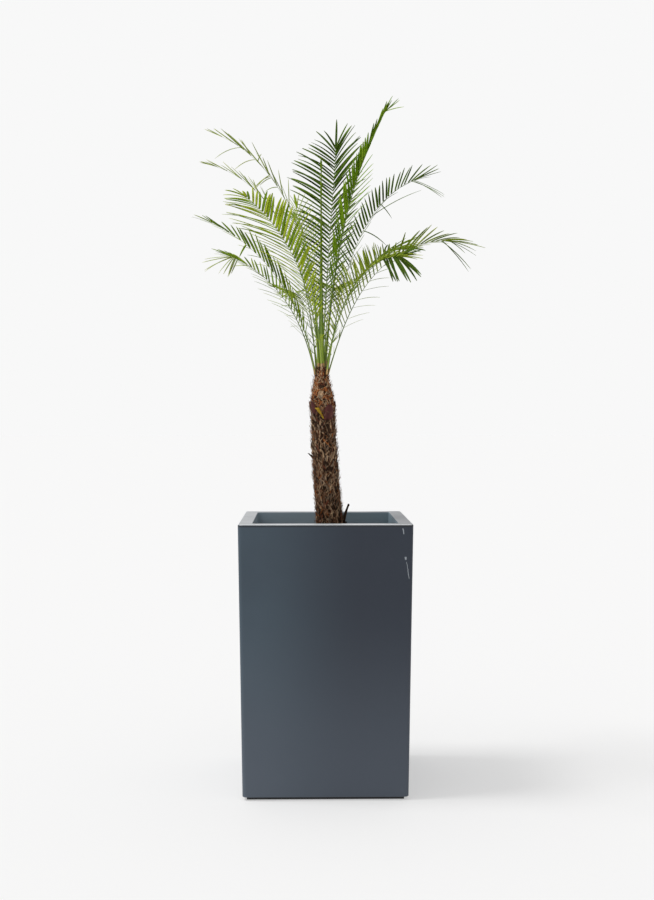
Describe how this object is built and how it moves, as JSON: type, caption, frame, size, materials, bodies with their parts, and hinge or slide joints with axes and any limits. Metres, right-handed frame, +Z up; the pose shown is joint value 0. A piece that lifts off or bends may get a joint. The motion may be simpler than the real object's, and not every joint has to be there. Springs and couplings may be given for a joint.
{
  "type": "potted pygmy date palm",
  "caption": "Pygmy date palm with a stubbly fibrous trunk and arching feathery fronds, growing in a tall tapered square planter.",
  "frame": {"origin": "centre of the planter's flat underside", "axes": "+Z up along the planter, -Y out of the planter's front face, +X to the right as seen from the front"},
  "size_m": [0.7921, 0.7748, 1.8781],
  "materials": {
    "planter": "matte slate grey fibre clay",
    "soil": "crumbly dark potting mix",
    "trunk": "fibrous bark with pale leaf-base stubs",
    "frond": "satin green leaflets"
  },
  "bodies": {
    "root": {"planter": "planter", "soil": "soil", "trunk": "trunk", "frond_back_tall": "frond", "frond_right_tall": "frond", "frond_right_upper": "frond", "frond_right_arch": "frond", "frond_right_front": "frond", "frond_left_top": "frond", "frond_left_thin": "frond", "frond_left_broad": "frond", "frond_left_middle": "frond", "frond_left_low": "frond", "frond_front_young": "frond", "frond_spear": "frond", "frond_back_right": "frond", "frond_back_middle": "frond", "frond_back_left": "frond", "frond_back_low": "frond"}
  },
  "joints": []
}
